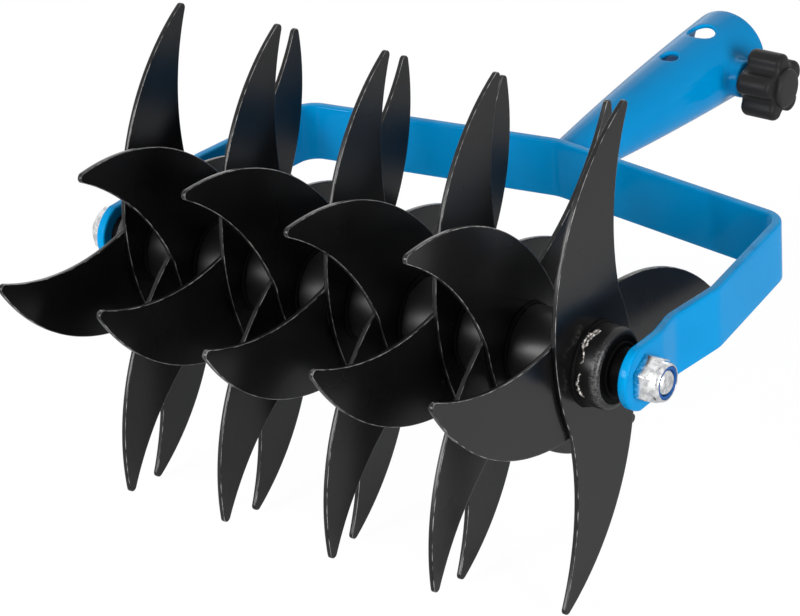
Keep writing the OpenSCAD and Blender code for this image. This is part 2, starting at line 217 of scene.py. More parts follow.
class Finish:
    """A material under way: its Principled shader, and short calls that place nodes and join them."""

    def __init__(self, name):
        self.coat = bpy.data.materials.new(name)
        self.coat.use_nodes = True
        self.nodes, self.links = self.coat.node_tree.nodes, self.coat.node_tree.links
        self.shader = self.nodes["Principled BSDF"]

    def plain(self, **values):
        """Sets plain values on the shader's own sockets, underscores standing for spaces."""
        for label, value in values.items():
            self.shader.inputs[label.replace("_", " ")].default_value = value

    def group(self, group, **values):
        """Places a node group with its own values and returns its outputs."""
        node = self.nodes.new("ShaderNodeGroup")
        node.node_tree = group
        for label, value in values.items():
            node.inputs[label.replace("_", " ")].default_value = value
        return node.outputs

    def ramp(self, fac, low, high, start, end):
        """Maps a mask from low..high to start..end and returns the value."""
        node = self.nodes.new("ShaderNodeMapRange")
        node.interpolation_type = "SMOOTHSTEP"
        for label, value in (("From Min", low), ("From Max", high), ("To Min", start), ("To Max", end)):
            node.inputs[label].default_value = value
        self.links.new(fac, node.inputs["Value"])
        return node.outputs["Result"]

    def mix(self, fac, a, b):
        """Mixes two colours, given as values or sockets, by a mask."""
        node = self.nodes.new("ShaderNodeMix")
        node.data_type = "RGBA"
        share_in, first_in, second_in, colour_out = 0, 6, 7, 2
        self.links.new(fac, node.inputs[share_in])
        for value, socket in ((a, node.inputs[first_in]), (b, node.inputs[second_in])):
            if isinstance(value, tuple):
                socket.default_value = value
            else:
                self.links.new(value, socket)
        return node.outputs[colour_out]

    def join(self, value, label):
        """Leads a socket to one of the shader's inputs."""
        self.links.new(value, self.shader.inputs[label])

    def relief(self, height, depth, strength=1.0):
        """Raises the surface by a height of the given depth in metres."""
        node = self.nodes.new("ShaderNodeBump")
        node.inputs["Strength"].default_value = strength
        node.inputs["Distance"].default_value = depth
        self.links.new(height, node.inputs["Height"])
        self.join(node.outputs["Normal"], "Normal")


share, inset, rise = strip_section(bar_half_t, bar_edge)
half_line = [(arm_x, 0), (arm_x, 9.7), (96.3, 20), (98.6, 41), (92.3, 91.3)]
chevron_y = 105.6
bend_radii = [12, 12, 12, 8, 14, 8, 12, 12, 12]
line, normal = bent_line(half_line + [(0, chevron_y)] + [(-x, y) for x, y in half_line[::-1]], bend_radii)
theta = np.linspace(0, np.arcsin(bar_half_w / end_r), 12)[:, None]
tip_y, tip_z = -(end_r - inset) * np.cos(theta), share * (end_r - inset) * np.sin(theta)
tip = np.stack([arm_x - rise + 0 * tip_y, tip_y, tip_z], -1)
legs = np.concatenate([line[:, None] + normal[:, None] * rise[:, None],
                       np.broadcast_to(share * (bar_half_w - inset), (len(line), len(share)))[..., None]], -1)
bar = np.concatenate([tip, legs, (tip * (-1, 1, 1))[::-1]]) + (0, axle_y, 0)
# The outer part of each round edge takes the edge mark. There it gives paler blue: partly worn coat, partly
# painted highlight.
eased = inset < 0.4 * bar_edge
yoke = lay_piece("yoke_bar", [sheet(bar, True, eased)])

blue = Finish("blue_powder_coat")
blue.plain(IOR=1.15)
shade = blue.group(clouds, Cloud_scale=22, Grain_scale=620)
tone = blue.mix(blue.ramp(shade["Cloud"], 0.35, 0.65, 0, 1), (0.0, 0.216, 0.5, 1), (0.0, 0.236, 0.54, 1))
# Paler blue along the eased edges and the socket's hole rims: partly worn coat, partly a painted highlight
# standing in for light caught on the rounded edges.
edge = blue.group(wear_and_sheen, Break_scale=140, Reach=0.8)
blue.join(blue.mix(edge["Worn"], tone, (0.0, 0.28, 0.62, 1)), "Base Color")
blue.join(blue.ramp(shade["Cloud"], 0.3, 0.7, 0.1, 0.16), "Roughness")
blue.relief(shade["Grain"], 0.00005, 0.25)
fit(yoke, blue.coat, "frame", "blue_coat", "yoke")


# Handle socket: a tapered steel tube that swells towards its mouth, drawn from tube, drilled across for a locking
# pin and once more in the top for a fixing screw, and welded to the back of the bar.
socket_len, wall, hole_edge = 105.8, 1.5, 0.5
root_r, swell, early = 6.75, 8.25, 0.42
mouth_bore_r, mouth_depth, mouth_lip = 13.5, 6, 0.75
corner_x, corner_y = half_line[-1]
bar_slope = (chevron_y - corner_y) / corner_x


def flare(y):
    """Outside radius at y: with u the share of the length from bar to mouth, the root's radius and a swell times
    ((1 + early) u - early u squared)."""
    u = 1 + y / socket_len
    return root_r + swell * ((1 + early) * u - early * u * u)


def on_socket(y, angle, depth=0.0):
    """Point of the wall at y along the socket, an angle round it from +X, and a depth below the outside."""
    r = flare(y) - depth
    return np.stack(np.broadcast_arrays(r * np.cos(angle), y, r * np.sin(angle)), -1)


def drilled_tube(y_rows, columns, ends, holes):
    """Wall of a tube as two grids, outside and inside, joined at both ends. Where a hole is drilled, a block of
    both grids gives way to one ring surface from the outer block's border over the hole's rounded rim, through the
    wall and out to the inner block's border."""
    angle = np.arange(columns) * 2 * np.pi / columns
    y = np.broadcast_to(y_rows[:, None], (len(y_rows), columns)).copy()
    y[0] = ends(angle)
    land = np.where(y_rows > -mouth_depth, flare(y_rows) - mouth_bore_r, wall)[:, None]
    outer, inner = on_socket(y, angle), on_socket(y, angle, land)
    rim_a = np.linspace(0, np.pi, 9)[1:-1, None]
    lip = (flare(0) + mouth_bore_r) / 2 + mouth_lip * np.cos(rim_a)
    lip_y = mouth_lip * np.sin(rim_a) - mouth_lip
    rim = np.stack(np.broadcast_arrays(lip * np.cos(angle), lip_y, lip * np.sin(angle)), -1)
    points, quads, edge = sheet(np.concatenate([outer, rim, inner[::-1], outer[:1]]), True)
    cell_row = np.repeat(np.arange(len(quads) // columns), columns)
    cell_col = np.tile(np.arange(columns), len(quads) // columns)
    last = 2 * len(y_rows) + len(rim) - 1
    keep = np.ones(len(quads), bool)
    sheets = []
    for y_mid, mid, radius, reach, spread in holes:
        i0, i1 = np.searchsorted(y_rows, [y_mid - reach - 0.01, y_mid + reach + 0.01])
        i1 -= 1
        j = (mid + np.arange(-spread, spread + 1)) % columns
        around = ((cell_col - mid + spread) % columns) < 2 * spread
        keep &= ~(around & (cell_row >= i0) & (cell_row < i1))
        keep &= ~(around & (cell_row >= last - i1) & (cell_row < last - i0))
        rows = np.arange(i0, i1 + 1)
        loop_i = np.concatenate([np.full(len(j), i0), rows[1:-1], np.full(len(j), i1), rows[-2:0:-1]])
        loop_j = np.concatenate([np.arange(len(j)), np.full(len(rows) - 2, len(j) - 1),
                                 np.arange(len(j))[::-1], np.zeros(len(rows) - 2, int)]) - spread
        far_y = y_rows[loop_i] - y_mid
        far_x = loop_j * 2 * np.pi / columns * flare(y_mid)
        turn = np.arctan2(far_y, far_x)
        out, soft = np.linspace(1, 0, 4)[:3, None], np.linspace(0, np.pi / 2, 5)[:, None]
        span = np.hypot(far_x, far_y)
        ring = radius + hole_edge
        land_r, edge_r = ring + (span - ring) * out, ring - hole_edge * np.sin(soft) + 0 * span
        reach_of = np.concatenate([land_r, edge_r, edge_r[::-1], land_r[::-1]])
        sink = hole_edge - hole_edge * np.cos(soft)
        below = np.concatenate([0 * out, sink, (wall - sink)[::-1], wall + 0 * out])
        yy = y_mid + reach_of * np.sin(turn)
        aside = np.clip(reach_of * np.cos(turn) / flare(y_mid), -1, 1)
        near = np.clip((reach_of - ring) / (span - ring), 0, 1)
        bent = aside * near + np.arcsin(aside) * (1 - near)
        sheets.append(sheet(on_socket(yy, mid * 2 * np.pi / columns + bent, below), True,
                            (below > 0) & (below < hole_edge + 0.1)))
    return [(points, quads[keep], edge)] + sheets


# Rows along the socket; those beside a hole are the borders of its block
rows_y = np.array([-106.3, -104.5, -101, -96, -90, -84, -78, -72, -66, -60, -54, -48.5, -43.8, -41.1, -38.3, -35.5,
                   -32.8, -29, -25.3, -21.3, -17.3, -13.3, -9.3, -6.01, -5.99, -3, -0.75])
columns, sunk = 96, 0.2
# Each hole: its place along the socket, its column, its radius, and the reach and spread of the block it opens
holes = [(-17.3, 24, 5.0, 8, 10), (-17.3, 72, 5.0, 8, 10), (-38.3, 24, 3.25, 5.5, 8)]


def bar_end(angle):
    """Where the wall ends on the bar: down the slope of the chevron on both sides, sunk a little into it."""
    return -socket_len - bar_slope * root_r * np.abs(np.cos(angle)) - sunk


socket = lay_piece("socket_tube", drilled_tube(rows_y, columns, bar_end, holes))
fit(socket, blue.coat, "frame", "blue_coat", "handle_socket")


# Weld between socket and bar: a steel fillet run once round the tube's foot, a little uneven, and smoothed over by
# the powder coat that covers yoke and socket together.
def wander(angle, size, seed):
    """Smooth irregular ring: a sum of five sines of rising frequency with fixed phases, about +-size."""
    k, share = np.array([3, 7, 12, 19, 31]), np.array([0.4, 0.35, 0.3, 0.25, 0.2])
    phase = np.sin(k * (seed + 1.7) * 12.9898) * 43.7
    return size * (np.sin(np.asarray(angle)[..., None] * k + phase) * share).sum(-1)


angle = np.linspace(0, 2 * np.pi, 120, endpoint=False)
lift = np.linspace(0, np.pi / 2, 9)[:, None]
weld_sink, foot_share, foot_drop = 0.05, 0.86, 0.3
leg = 2.6 + wander(angle, size=0.5, seed=3)
throat = root_r - weld_sink + leg * (1 - np.sin(lift))
up_bar = -socket_len - bar_slope * throat * np.abs(np.cos(angle)) - weld_sink + leg * (1 - np.cos(lift))
bead = np.stack([throat * np.cos(angle), up_bar, throat * np.sin(angle)], -1)
foot = bead[[0, -1]] * (foot_share, 1, foot_share)
foot[:, :, 1] = up_bar[0] - foot_drop
fillet = lay_piece("socket_weld", [sheet(np.concatenate([bead, foot[1:], foot[:1], bead[:1]]), True)])
fit(fillet, blue.coat, "frame", "blue_coat")


# Clamp boss: a short turned steel sleeve with an eased rim, tapped for the clamp screw, welded square to the
# socket's side near the mouth and coated with it.
boss_y, boss_x, boss_r, boss_edge = -18.5, 18.36, 6.5, 0.9
tapped_r, tapped_end, chamfer, weld_sink, foot_sink = 4.1, 13, 0.4, 0.02, 0.4
lift = np.linspace(0, np.pi / 2, 7)[:, None]
leg = 2.2 + wander(angle, size=0.2, seed=8)
ring = boss_r - weld_sink + leg * (1 - np.sin(lift))


def on_side(ring, rise):
    """Points of rings about the clamp's axis, raised from the socket's side: x is the wall's own reach at that y
    and z plus the rise."""
    y, z = boss_y + ring * np.cos(angle), ring * np.sin(angle)
    return np.stack([np.sqrt(np.maximum(flare(y) ** 2 - z ** 2, 1)) + rise, y, z], -1)


def about_clamp(radius, x):
    """Rings about the clamp's axis, one for each pair of radius and x."""
    radius, x = np.asarray(radius, float)[:, None], np.asarray(x, float)[:, None]
    return np.stack(np.broadcast_arrays(x, boss_y + radius * np.cos(angle), radius * np.sin(angle)), -1)


soft = np.linspace(0, np.pi / 2, 6)
top_r = np.concatenate([boss_r - boss_edge + boss_edge * np.cos(soft), [tapped_r + chamfer, tapped_r, tapped_r]])
top_x = np.concatenate([boss_x - boss_edge + boss_edge * np.sin(soft), [boss_x, boss_x - chamfer, tapped_end]])
hidden_foot = on_side(ring[:1], -foot_sink)
weld_face = on_side(ring, leg * (1 - np.cos(lift)) - weld_sink)
boss_rows = np.concatenate([hidden_foot, weld_face, about_clamp(top_r, top_x)])
boss = lay_piece("clamp_boss_sleeve", [sheet(boss_rows, True)])
fit(boss, blue.coat, "frame", "blue_coat", "clamp_boss")


# Hub tube: 25 mm steel tube that carries the stars, painted black with them after welding. Its ends are rolled
# over a little, and near them a grey band is painted: partly scuffed paint and partly painted sheen.
hub_half, hub_r, hub_bore_r, hub_lip = 91.0, 12.5, 10.5, 1.8
full = np.linspace(0, 2 * np.pi, 128, endpoint=False)


def about_axle(radius, x, turn=full):
    """Rings about the axle, one for each pair of radius and x."""
    radius, x = np.asarray(radius, float), np.asarray(x, float)
    radius, x = (v[:, None] if v.ndim == 1 else v for v in (radius, x))
    return np.stack(np.broadcast_arrays(x, axle_y + radius * np.cos(turn), radius * np.sin(turn)), -1)


soft = np.linspace(0, np.pi / 2, 9)
lip_r, lip_x = hub_r - hub_lip + hub_lip * np.sin(soft), hub_half - hub_lip + hub_lip * np.cos(soft)
span = np.linspace(-1, 1, 40)[1:-1]
tube_r = np.concatenate([[hub_bore_r], lip_r, span * 0 + hub_r, lip_r[::-1], [hub_bore_r] * 3])
tube_x = np.concatenate([[-hub_half], -lip_x, span * (hub_half - hub_lip - 0.4), lip_x[::-1],
                         [hub_half, hub_half - 20, -hub_half]])
# A grey band near each end of the hub, strongest on the side away from the handle: partly scuffed paint, partly a
# painted sheen standing in for light on the rolled ends.
scuff_sheen_in, scuff_sheen_reach, scuff_sheen_mean, scuff_sheen_swing, scuff_sheen_side = 1, 1.1, 0.38, 0.24, 3.0
near_end = np.abs(np.abs(tube_x) - hub_half + scuff_sheen_in) < scuff_sheen_reach
scuff_and_sheen_mark = near_end[:, None] * (scuff_sheen_mean + scuff_sheen_swing * np.cos(full - scuff_sheen_side))
hub = lay_piece("hub_tube_painted", [sheet(about_axle(tube_r, tube_x), True, scuff_and_sheen_mark)])


def black_paint(name, grey, gloss, rough, break_scale, reach, scuff_and_sheen):
    """Black paint on steel: clouded dark grey of a given gloss and roughness, with places of a given grey where
    the edge mark runs high. On the stars and welds these are worn edges; on the hub's ends they are a band of
    scuff and painted sheen."""
    paint = Finish(name)
    paint.plain(Specular_IOR_Level=gloss)
    shade = paint.group(clouds, Cloud_scale=16, Grain_scale=700)
    edge = paint.group(wear_and_sheen, Break_scale=break_scale, Reach=reach)
    deep, faded = ((share * grey, 0.94 * share * grey, share * grey, 1) for share in (0.75, 1.25))
    tone = paint.mix(paint.ramp(shade["Cloud"], 0.35, 0.65, 0, 1), deep, faded)
    paint.join(paint.mix(edge["Worn"], tone, (scuff_and_sheen, 0.985 * scuff_and_sheen, 0.97 * scuff_and_sheen, 1)), "Base Color")
    paint.join(paint.ramp(shade["Cloud"], 0.3, 0.7, rough, rough + 0.1), "Roughness")
    paint.relief(shade["Grain"], 0.00004, 0.25)
    return paint.coat


dull_black = black_paint("hub_paint", grey=0.0034, gloss=0.35, rough=0.36, break_scale=1300, reach=0.5, scuff_and_sheen=0.1)
fit(hub, dull_black, "rotor", "black_paint", "hub_tube")


# Star plates: each star is two plates of 1.5 mm steel, stamped into two sickle blades with blunt tips and laid
# across each other, every second star flipped over, welded to the hub at the bores and painted black; the sheared
# edges have worn.
plate_half, plate_edge, plate_gap = 0.75, 0.3, 0.02
back_r, back_c = 72.95, np.array([48.85, 24.0])
hollow_r, hollow_c = 84.53, np.array([84.53, 58.0])
tip_r, bore_r = 1.566, 12.4
edge_points, tip_points, waist_points, foot_points = 56, 7, 30, 4
quarter = np.array([[0, -1], [1, 0]])


def unit(v):
    """The vector made one long."""
    return v / np.hypot(*v)


def crossing(c0, r0, c1, r1, near):
    """The point where two circles cross, of the two the one nearer to a given point."""
    d = np.hypot(*(c1 - c0))
    along = (r0 * r0 - r1 * r1 + d * d) / (2 * d)
    foot = c0 + unit(c1 - c0) * along
    aside = unit(c1 - c0) @ quarter * np.sqrt(r0 * r0 - along * along)
    return min(foot + aside, foot - aside, key=lambda p: np.hypot(*(p - near)))


def arc(centre, radius, start, end, count):
    """Points of an arc about a centre, from the direction of one point to that of another by the shorter way."""
    a0, a1 = (np.arctan2(*(p - centre)[::-1]) for p in (start, end))
    a = a0 + ((a1 - a0 + np.pi) % (2 * np.pi) - np.pi) * np.linspace(0, 1, count)
    return centre + radius * np.stack([np.cos(a), np.sin(a)], -1)


tip_c = crossing(back_c, back_r - tip_r, hollow_c, hollow_r + tip_r, near=np.array([0, 78.0]))


def blade_root(inset):
    """Where a blade's hollow front meets the round back of the blade a quarter turn on, drawn in by an inset."""
    return crossing(hollow_c, hollow_r + inset, back_c @ quarter, back_r - inset, near=np.array([7.6, 22.0]))


def blade_sides(inset):
    """Both edges of an upright blade from its root to the middle of its tip, drawn in by an inset: the round back,
    the hollow front, and between them the tip's small arc, all arcs of circles made smaller or larger by the
    inset."""
    root = blade_root(inset)
    out_b, out_h = unit(tip_c - back_c), unit(hollow_c - tip_c)
    apex = tip_c + (tip_r - inset) * unit(out_b @ quarter - out_h @ quarter)
    behind = np.concatenate([arc(back_c, back_r - inset, root @ quarter.T, tip_c, edge_points)[:-1],
                             arc(tip_c, tip_r - inset, tip_c + out_b, apex, tip_points)])
    before = np.concatenate([arc(hollow_c, hollow_r + inset, root, tip_c, edge_points)[:-1],
                             arc(tip_c, tip_r - inset, tip_c + out_h, apex, tip_points)])
    return behind, before


def flank(inset):
    """One side of a plate's waist, drawn in by an inset: from the lower blade's root along its hollow front to
    where that meets the upper blade's round back, and up the back to the upper blade's root."""
    root = blade_root(inset)
    waist = crossing(hollow_c, hollow_r + inset, -back_c, back_r - inset, near=np.array([8.5, 21.1]))
    return np.concatenate([arc(-hollow_c, hollow_r + inset, -root, -waist, foot_points)[:-1],
                           arc(back_c, back_r - inset, -waist, root @ quarter.T, waist_points)])


def raised(flat, rise):
    """Lays a drawing of the star plane (handle way, up) at a rise along the axle: (rise, handle way, up)."""
    return np.concatenate([np.broadcast_to(rise, flat.shape[:-1])[..., None], flat], -1)


a = np.linspace(0, np.pi / 2, 4)
rim_inset, rim_rise = plate_edge * (1 - np.sin(a)), plate_half - plate_edge + plate_edge * np.cos(a)
rim_inset = np.concatenate([rim_inset, rim_inset[::-1]])
rim_rise = np.concatenate([rim_rise, -rim_rise[::-1]])
outlines = np.stack([np.concatenate([behind, before[-2::-1]]) for behind, before in map(blade_sides, rim_inset)])
behind, before = blade_sides(plate_edge)
v = np.array([0, 0.012, 0.2, 0.4, 0.6, 0.8, 0.988, 1.0])[:, None]
face = behind[:, None] * (1 - v) + before[:, None] * v
line_wear, tip_wear = 0.65, 0.85
rim_wear = np.array([line_wear, 1, 0.9, 0.35, 0.35, 0.9, 1, line_wear])[:, None]
face_mark = np.where((v[:, 0] == 0) | (v[:, 0] == 1), line_wear, 0.0)
rim_mark = rim_wear * np.ones(outlines.shape[1])
apex_column = edge_points + tip_points - 2
rim_mark[3:5, apex_column - 4:apex_column + 5] = tip_wear
root_line = face[0]
bore = bore_r * root_line / np.hypot(*root_line.T)[:, None]
t = np.array([0, 0.25, 0.5, 0.75, 0.96, 1])[:, None, None]
web = bore * (1 - t) + root_line * t
flanks = np.stack([flank(inset) for inset in rim_inset])
flank_mark = rim_wear * np.ones(flanks.shape[1])
waist = flank(plate_edge)
waist_bore = bore_r * waist / np.hypot(*waist.T)[:, None]
waist_web = waist_bore * (1 - t) + waist * t
waist_mark = np.where(t[:, :, 0] == 1, line_wear, 0.0)


def crossed_plates(front):
    """A star's two plates, one of them in front (on the nut's side): quarter turns of a blade and of the waist
    beside it, each turn's rims, bore and faces at the level of its plate."""
    layers = []
    for k in range(4):
        spin = np.linalg.matrix_power(quarter, k)
        level = (plate_half + plate_gap) * (1 if k % 2 == front else -1)
        layers += [sheet(raised(outlines @ spin, level + rim_rise[:, None]), False, rim_mark),
                   sheet(raised(flanks @ spin, level + rim_rise[:, None]), False, flank_mark)]
        for rise in (level + plate_half, level - plate_half):
            layers += [sheet(raised(face @ spin, rise), False, face_mark), sheet(raised(web @ spin, rise)),
                       sheet(raised(waist_web @ spin, rise), False, waist_mark)]
        faces = level + np.array([[plate_half], [-plate_half]])
        layers += [sheet(raised(np.stack([ring @ spin] * 2), faces)) for ring in (bore, waist_bore)]
    return layers


black = black_paint("star_paint", grey=0.004, gloss=0.32, rough=0.2, break_scale=300, reach=0.85, scuff_and_sheen=0.25)
# Each star as it was welded: its place along the hub, its turn, and its lean about Y and about Z in degrees
welded = [(-79.1, 13.3, -0.3, 0.7), (-59.2, 43.0, -1.0, 1.2), (-39.7, 14.0, -1.8, 0.7), (-18.8, 45.3, -1.7, -0.4),
          (0.0, 12.2, 0.4, 0.4), (20.1, 43.2, -1.8, -0.5), (40.5, 14.9, -2.3, -0.7), (57.9, 44.2, -0.6, 1.5),
          (81.5, 15.3, -0.4, -1.2)]
leaning = [np.array(Euler(np.radians((0, *lean))).to_matrix()).T for _, _, *lean in welded]
for i, (x, turn, _, _) in enumerate(welded):
    way, up = np.cos(np.radians(turn)), np.sin(np.radians(turn))
    pose = np.array([[1, 0, 0], [0, way, -up], [0, up, way]])
    pose[1] *= -1 if i % 2 else 1
    plate = lay_piece(f"star_plate_{i + 1}", [(points @ pose @ leaning[i] + (x, axle_y, 0), quads, edges)
                                              for points, quads, edges in crossed_plates(i % 2)], sharp=50)
    fit(plate, black, "rotor", "black_paint", f"star_{i + 1}")


# Welds at the stars: a short-stepped bead on each star's nut side, painted over; along the foot of the last star's
# bead three thin strands of bare metal show where the paint did not take.
bead_size, bead_ripple, bead_steps, bead_out = 0.75, 0.1, 19, 1.6


def weld_ring(i):
    """A bead round the hub: a circle section about a point on the tube, its size rippled in short steps and
    wandering slowly with the angle."""
    section = np.linspace(0, 2 * np.pi, 14, endpoint=False)[:, None]
    size = bead_size + bead_ripple * np.abs(np.sin(bead_steps * full)) + wander(full, size=0.2, seed=i)
    ring = about_axle(hub_r + size * np.cos(section), bead_out + size * np.sin(section)) - (0, axle_y, 0)
    ring = np.swapaxes(ring, 0, 1)[list(range(len(full))) + [0]]
    return sheet(ring @ leaning[i] + (welded[i][0], axle_y, 0), True)


def strand(degrees, x, thick):
    """A thin thread of weld metal on the hub: a circle section carried along the given angles and places on the
    axle, its thickness rippled and run out to nothing at both ends."""
    t = np.linspace(0, 1, 90)
    where = np.linspace(0, 1, len(degrees))
    degrees, x, thick = (np.interp(t, where, values) for values in (degrees, x, thick))
    turn = np.radians(degrees)
    x = x + wander(12 * turn, size=0.22, seed=5)
    size = thick * (1 + wander(9 * turn, size=0.45, seed=2)) * np.clip(12 * np.minimum(t, 1 - t), 0.02, 1)
    section = np.linspace(0, 2 * np.pi, 10, endpoint=False)[:, None]
    rings = about_axle(hub_r + 0.1 + size * np.cos(section), x + size * np.sin(section), turn)
    return sheet(np.swapaxes(rings, 0, 1), True)


beads = lay_piece("star_welds", [weld_ring(i) for i in range(len(welded))])
rough_black = black_paint("weld_paint", grey=0.0034, gloss=0.05, rough=0.6, break_scale=300, reach=0.9, scuff_and_sheen=0.1)
fit(beads, rough_black, "rotor", "black_paint")
strands = lay_piece("bare_weld_strands", [
    strand([96, 105, 115, 125, 133, 140, 149, 153], [85.7, 85.1, 84.2, 83.9, 84.5, 85.5, 85.9, 85.2],
           [0.4, 0.5, 0.5, 0.45, 0.35, 0.22, 0.2, 0.25]),
    strand([98, 106, 114, 121, 127, 132], [86.5, 86.0, 85.2, 84.9, 85.1, 84.7], [0.25, 0.35, 0.35, 0.3, 0.3, 0.2]),
    strand([164, 172, 180, 190, 198, 202], [85.5, 85.1, 84.7, 85.0, 85.4, 86.5],
           [0.2, 0.28, 0.36, 0.36, 0.33, 0.28])])
bare = Finish("bare_weld_steel")
shade = bare.group(clouds, Cloud_scale=900, Grain_scale=1800)
tone = bare.mix(bare.ramp(shade["Cloud"], 0.4, 0.6, 0, 1), (0.16, 0.15, 0.14, 1), (0.72, 0.68, 0.64, 1))
bare.join(tone, "Base Color")
bare.plain(Metallic=0.4)
bare.join(bare.ramp(shade["Grain"], 0.3, 0.7, 0.35, 0.5), "Roughness")
bare.relief(shade["Grain"], 0.0001, 0.5)
fit(strands, bare.coat, "rotor", "bare_steel")


# Bushes: black moulded plain bearings pressed into both ends of the hub, each with a stepped flange whose neck
# runs against its arm. Their black is made darker than the plastic's own as painted shade, so that the flange
# reads as a recess between hub and arm.
flange_r, neck_r, flange_end, sleeve_r = 8.6, 7.1, 96.4, 6.05
neck_edge, flange_edge, flange_t, press_r, bush_start = 0.4, 0.6, 1, 10.4, 75
soft = np.linspace(0, np.pi / 2, 5)
bush_r = np.concatenate([[sleeve_r, sleeve_r], neck_r - neck_edge + neck_edge * np.sin(soft), [neck_r],
                         flange_r - flange_edge + flange_edge * np.sin(soft), [flange_r, press_r, press_r]])
bush_x = np.concatenate([[bush_start, flange_end], flange_end - neck_edge + neck_edge * np.cos(soft),
                         [hub_half + flange_t], hub_half + flange_t - flange_edge + flange_edge * np.cos(soft),
                         [hub_half, hub_half, bush_start]])
moulded = Finish("black_bush_and_painted_shade")
moulded.plain(Roughness=0.6, Specular_IOR_Level=0.05)
shade = moulded.group(clouds, Cloud_scale=60, Grain_scale=1400)
# Nearly black: the plastic's own black, made darker still as painted shade in the recess between hub and arm.
tone = moulded.mix(shade["Cloud"], (0.0008, 0.0008, 0.0008, 1), (0.0016, 0.0016, 0.0018, 1))
moulded.join(tone, "Base Color")
moulded.relief(shade["Grain"], 0.00005, 0.4)
for name, side in (("right_bush", 1), ("left_bush", -1)):
    ring = about_axle(bush_r, side * bush_x)
    piece = lay_piece(name + "_moulded", [sheet(np.concatenate([ring, ring[:1]]), True)])
    fit(piece, moulded.coat, "rotor", "grey_plastic", name)


# Axle sleeve: plain drawn steel tube over the bolt, clamped between the arms, on which the bushes turn; only its
# ends can be made out, so the CAD node stays and takes this finish.
drawn = Finish("drawn_steel")
drawn.plain(Metallic=1.0)
shade = drawn.group(clouds, Cloud_scale=120, Grain_scale=2000)
drawn.join(drawn.mix(shade["Cloud"], (0.3, 0.3, 0.31, 1), (0.42, 0.42, 0.43, 1)), "Base Color")
drawn.join(drawn.ramp(shade["Grain"], 0.3, 0.7, 0.3, 0.5), "Roughness")
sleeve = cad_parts["axle_sleeve"]
sleeve.data.materials.clear()
sleeve.data.materials.append(drawn.coat)


# Axle bolt: M8 hexagon bolt of steel, bright zinc plated, put through both arms and the sleeve; its head bears on
# the left arm and its end fills the nut.
arm_out, nut_end, flats_half, bolt_r = 99.9, 107.6, 6.5, 4.0
head_high, middle_r = 5.3, 0.01
reach = flats_half / np.cos((full + np.pi / 6) % (np.pi / 3) - np.pi / 6)


def hexagon_rows(height, foot, crown):
    """Rings of a hexagon along an axis: foot with a small bevel, flats as far as the crown cone that cuts the
    corners, and the cone up to the crown radius. Radius and height differ round each ring, as the flats do."""
    level, slope, bevel = np.zeros_like(reach), 1.5, 0.35
    cone = height - (reach - crown) / slope
    radius = [level + foot, reach - bevel, reach - 0.1, reach, reach, reach - 0.12, level + crown]
    x = [level, level, level + 0.1, level + bevel, cone - 0.15, cone + 0.05, level + height]
    return np.stack(radius), np.stack(x)


head_r, head_x = hexagon_rows(head_high, foot=bolt_r, crown=6.0)
ends = np.zeros((1, len(full)))
head = about_axle(np.concatenate([head_r, ends + 5.5, ends + middle_r]),
                  -arm_out - np.concatenate([head_x, ends + head_high + 0.06, ends + head_high]))
shank_r = np.array([bolt_r, bolt_r, bolt_r, 3.85, 3.1, 3.0, middle_r])
shank_x = np.array([-arm_out, 96, nut_end - 0.95, nut_end - 0.75, nut_end - 0.03, nut_end, nut_end - 0.02])
bolt = lay_piece("axle_bolt_plated", [sheet(head, True), sheet(about_axle(shank_r, shank_x), True)])
zinc = Finish("bright_zinc_plate")
shade = zinc.group(clouds, Cloud_scale=650, Grain_scale=1800)
zinc.plain(Metallic=1.0)
tone = zinc.mix(zinc.ramp(shade["Cloud"], 0.4, 0.6, 0, 1), (0.53, 0.54, 0.56, 1), (0.8, 0.8, 0.8, 1))
zinc.join(tone, "Base Color")
zinc.join(zinc.ramp(shade["Cloud"], 0.35, 0.65, 0.18, 0.3), "Roughness")
zinc.relief(shade["Grain"], 0.000006, 0.35)
fit(bolt, zinc.coat, "frame", "zinc", "axle_bolt")


# Lock nut: zinc plated steel hexagon, screwed on against the right arm, with a round collar that is rolled in
# over a nylon ring.
nut_r, nut_x = hexagon_rows(5.2, foot=4.1, crown=6.05)
roll_r, roll_in, roll_x, roll_rise = 5.1, 0.9, 6.35, 1.35
soft = np.linspace(0, np.pi / 2, 7)
collar_r = np.concatenate([roll_r + roll_in * np.cos(soft), [5.05, 5.02, 5.0, 5.0]])[:, None] + 0 * full
collar_x = np.concatenate([roll_x + roll_rise * np.sin(soft), [7.6, 7.25, 7.22, 5.4]])[:, None] + 0 * full
nut_rings = about_axle(np.concatenate([nut_r, ends + 6.0, collar_r]),
                       arm_out + np.concatenate([nut_x, ends + 5.3, collar_x]))
nut = lay_piece("lock_nut", [sheet(nut_rings, True)])
fit(nut, zinc.coat, "frame", "zinc", "axle_nut")


# Nylon ring: a blue moulded ring held in the nut's rolled collar, where it grips the bolt so that the nut does not
# work loose.
ring_r = np.array([4.03, 4.03, 4.25, 4.9, 4.98, 4.98])
ring_x = arm_out + np.array([5.2, 7.3, 7.55, 7.55, 7.4, 5.2])
nylon = Finish("blue_nylon")
nylon.plain(Roughness=0.4, Specular_IOR_Level=0.15)
shade = nylon.group(clouds, Cloud_scale=300, Grain_scale=1500)
nylon.join(nylon.mix(shade["Cloud"], (0.004, 0.05, 0.2, 1), (0.008, 0.08, 0.28, 1)), "Base Color")
nylon.relief(shade["Grain"], 0.00004, 0.3)
lock_ring = lay_piece("nut_nylon_ring", [sheet(about_axle(ring_r, ring_x), True)])
fit(lock_ring, nylon.coat, "frame", "blue_nylon", "nut_lock_ring")


